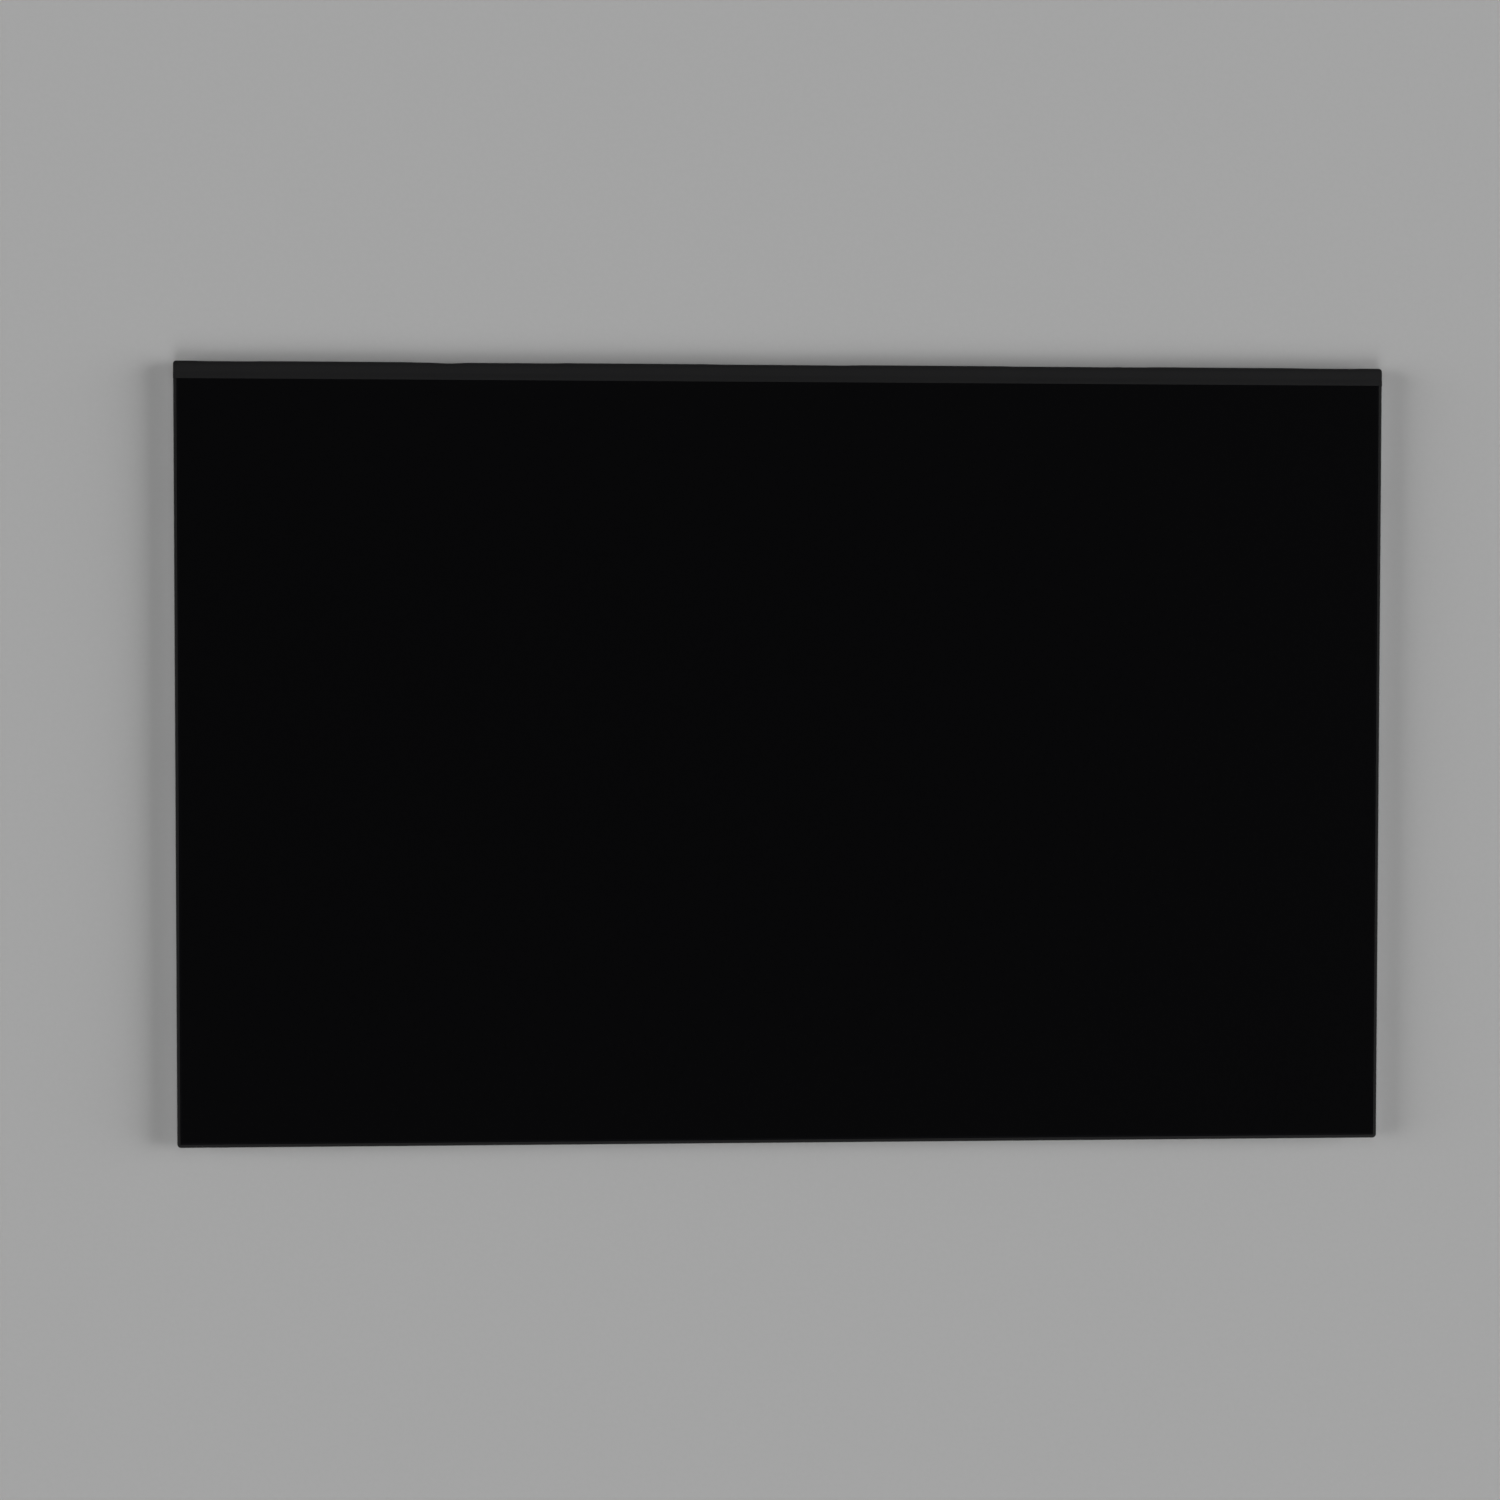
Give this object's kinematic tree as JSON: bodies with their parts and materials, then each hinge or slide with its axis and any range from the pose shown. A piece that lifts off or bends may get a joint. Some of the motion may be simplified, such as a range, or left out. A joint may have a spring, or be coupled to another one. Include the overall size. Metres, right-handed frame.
{
  "type": "laptop screen panel",
  "caption": "Thin flat liquid-crystal screen panel with a matt black face, a dark tape strip over its driver edge, a pressed metal back and a narrow control board.",
  "frame": {"origin": "under the middle of the outline, at the lowest point of the parts on the control board", "axes": "+X along the long edge, +Y towards the driver edge (the dark strip), +Z out of the picture side"},
  "size_m": [0.3068, 0.1982, 0.0038],
  "materials": {
    "matt_polarizer": "matt, anti-glare",
    "clear_polarizer": "clear film",
    "cell_glass": "polished, black mask behind",
    "film_circuit": "amber polyimide",
    "bare_silicon": "polished",
    "black_tape": "matt film",
    "clear_acrylic": "clear",
    "white_film": "matt white",
    "optical_film": "translucent",
    "lamp_package": "white moulding",
    "black_moulding": "fine matt",
    "plate_aluminium": "rolled",
    "board_laminate": "green solder mask",
    "clear_adhesive": "clear",
    "chip_moulding": "fine matt",
    "inductor_compound": "pressed powder",
    "tan_ceramic": "fired, with tinned ends",
    "dark_ceramic": "glazed, with tinned ends",
    "socket_moulding": "natural",
    "gold_plate": "gold plated",
    "socket_steel": "tin plated"
  },
  "bodies": {
    "root": {"front_polarizer": "matt_polarizer", "rear_polarizer": "clear_polarizer", "color_filter_glass": "cell_glass", "array_glass": "cell_glass", "driver_film_1": "film_circuit", "driver_film_2": "film_circuit", "driver_film_3": "film_circuit", "driver_film_4": "film_circuit", "led_flex": "film_circuit", "driver_chip_1": "bare_silicon", "driver_chip_2": "bare_silicon", "driver_chip_3": "bare_silicon", "driver_chip_4": "bare_silicon", "cover_tape": "black_tape", "rim_tape": "black_tape", "light_guide_plate": "clear_acrylic", "reflector_sheet": "white_film", "led_flex_tape": "white_film", "diffuser_sheet": "optical_film", "lower_prism_sheet": "optical_film", "upper_prism_sheet": "optical_film", "backlight_leds": "lamp_package", "mould_frame": "black_moulding", "back_plate": "plate_aluminium", "control_board": "board_laminate", "board_adhesive": "clear_adhesive", "timing_controller_chip": "chip_moulding", "power_chip": "chip_moulding", "led_driver_chip": "chip_moulding", "level_shifter_chip": "chip_moulding", "memory_chip": "chip_moulding", "boost_diode": "chip_moulding", "supply_inductors": "inductor_compound", "backlight_inductor": "inductor_compound", "ceramic_capacitors": "tan_ceramic", "chip_resistors": "dark_ceramic", "supply_fuse": "dark_ceramic", "connector_housing": "socket_moulding", "connector_contacts": "gold_plate", "connector_shell": "socket_steel"}
  },
  "joints": []
}
